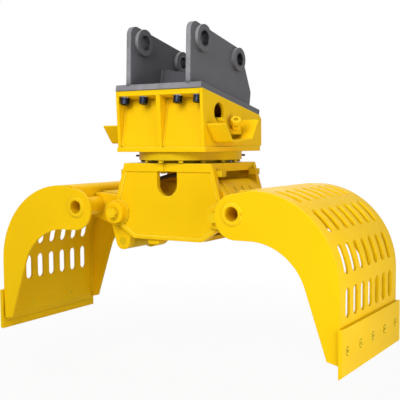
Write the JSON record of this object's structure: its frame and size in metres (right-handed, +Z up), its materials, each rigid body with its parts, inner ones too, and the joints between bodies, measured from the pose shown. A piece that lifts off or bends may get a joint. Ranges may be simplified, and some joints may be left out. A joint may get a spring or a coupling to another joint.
{
  "type": "multi grapple",
  "caption": "Slewing demolition and sorting grapple with two slotted shells on a synchronised cylinder, an upper box and a two-pin adapter.",
  "frame": {"origin": "centre of the stick pin bore, midway between the ears", "axes": "+Z up, +X along the stick pin towards the right shell, -Y towards the front with the window"},
  "size_m": [1.914, 0.758, 1.531],
  "materials": {
    "yellow_paint": "worn gloss paint",
    "grey_paint": "satin paint",
    "dark_bolts": "black oxide",
    "bush_steel": "turned",
    "machined_steel": "ground",
    "motor_iron": "painted casting",
    "zinc_fittings": "zinc plated",
    "hose_rubber": "matt"
  },
  "bodies": {
    "root": {"adapter_plate": "grey_paint", "adapter_cross_plate": "grey_paint", "adapter_ear_left": "grey_paint", "adapter_ear_right": "grey_paint", "pin_bushes": "bush_steel", "adapter_screws": "dark_bolts", "box_top_plate": "yellow_paint", "box_base_plate": "yellow_paint", "box_front_panel": "yellow_paint", "box_rear_panel": "yellow_paint", "box_side_left": "yellow_paint", "box_side_right": "yellow_paint", "hose_guards": "yellow_paint", "box_fittings": "zinc_fittings", "slew_ring_outer": "yellow_paint", "ring_bolts_outer": "dark_bolts", "slew_motor": "motor_iron", "union_housing": "machined_steel"},
    "lower_frame": {"slew_ring_inner": "machined_steel", "ring_bolts_inner": "dark_bolts", "union_rotor": "machined_steel", "frame_top_plate": "yellow_paint", "frame_front_plate": "yellow_paint", "frame_rear_plate": "yellow_paint", "frame_belly_plate": "yellow_paint", "frame_brackets": "yellow_paint", "pivot_pins": "machined_steel", "pivot_caps": "yellow_paint", "pivot_bolts": "dark_bolts", "supply_hose": "hose_rubber", "hose_end": "zinc_fittings"},
    "drive_pinion": {"drive_pinion": "machined_steel"},
    "left_shell": {"left_sheet": "yellow_paint", "left_cutting_edge": "yellow_paint", "left_edge_bolts": "dark_bolts", "left_cross_tube": "yellow_paint", "left_arm_cover": "yellow_paint", "left_pivot_bushes": "bush_steel", "left_cylinder_pin": "machined_steel", "left_side_front": "yellow_paint", "left_side_rear": "yellow_paint", "left_arm_front": "yellow_paint", "left_arm_rear": "yellow_paint", "tie_pin": "machined_steel"},
    "right_shell": {"right_sheet": "yellow_paint", "right_cutting_edge": "yellow_paint", "right_edge_bolts": "dark_bolts", "right_cross_tube": "yellow_paint", "right_arm_cover": "yellow_paint", "right_pivot_bushes": "bush_steel", "right_cylinder_pin": "machined_steel", "right_side_front": "yellow_paint", "right_side_rear": "yellow_paint", "right_arm_front": "yellow_paint", "right_arm_rear": "yellow_paint", "tie_lug": "yellow_paint"},
    "cylinder_barrel": {"cylinder_barrel": "yellow_paint", "cylinder_gland": "yellow_paint"},
    "cylinder_rod": {"cylinder_rod": "machined_steel"},
    "tie_rod": {"tie_rod": "yellow_paint"}
  },
  "joints": [
    {"name": "slew", "type": "hinge", "parent": "root", "child": "lower_frame", "pos_m": [0, 0.18343, -0.54779], "axis": [0, 0, 1], "continuous": true},
    {"name": "pinion_spin", "type": "hinge", "parent": "root", "child": "drive_pinion", "pos_m": [0, 0.30718, -0.55779], "axis": [0, 0, 1], "continuous": true},
    {"name": "right_swing", "type": "hinge", "parent": "lower_frame", "child": "right_shell", "pos_m": [0.29, 0.18343, -0.82779], "axis": [0, 1, 0], "range_deg": [0, 64.5]},
    {"name": "left_swing", "type": "hinge", "parent": "lower_frame", "child": "left_shell", "pos_m": [-0.29, 0.18343, -0.82779], "axis": [0, -1, 0], "range_deg": [0, 64.5]},
    {"name": "barrel_pivot", "type": "hinge", "parent": "left_shell", "child": "cylinder_barrel", "pos_m": [-0.23498, 0.18343, -0.7198], "axis": [0, 1, 0], "range_deg": [0, 65]},
    {"name": "rod_pivot", "type": "hinge", "parent": "right_shell", "child": "cylinder_rod", "pos_m": [0.23498, 0.18343, -0.7198], "axis": [0, -1, 0], "range_deg": [0, 65]},
    {"name": "tie_pivot", "type": "hinge", "parent": "left_shell", "child": "tie_rod", "pos_m": [-0.28484, 0.18343, -0.9757], "axis": [0, 1, 0], "range_deg": [0, 67]}
  ],
  "couplings": [
    {"joint": "pinion_spin", "follows": "slew", "ratio": 4},
    {"joint": "left_swing", "follows": "right_swing", "ratio": 1},
    {"joint": "barrel_pivot", "follows": "right_swing", "ratio": 1},
    {"joint": "rod_pivot", "follows": "right_swing", "ratio": 1},
    {"joint": "tie_pivot", "follows": "right_swing", "ratio": 1.034}
  ]
}
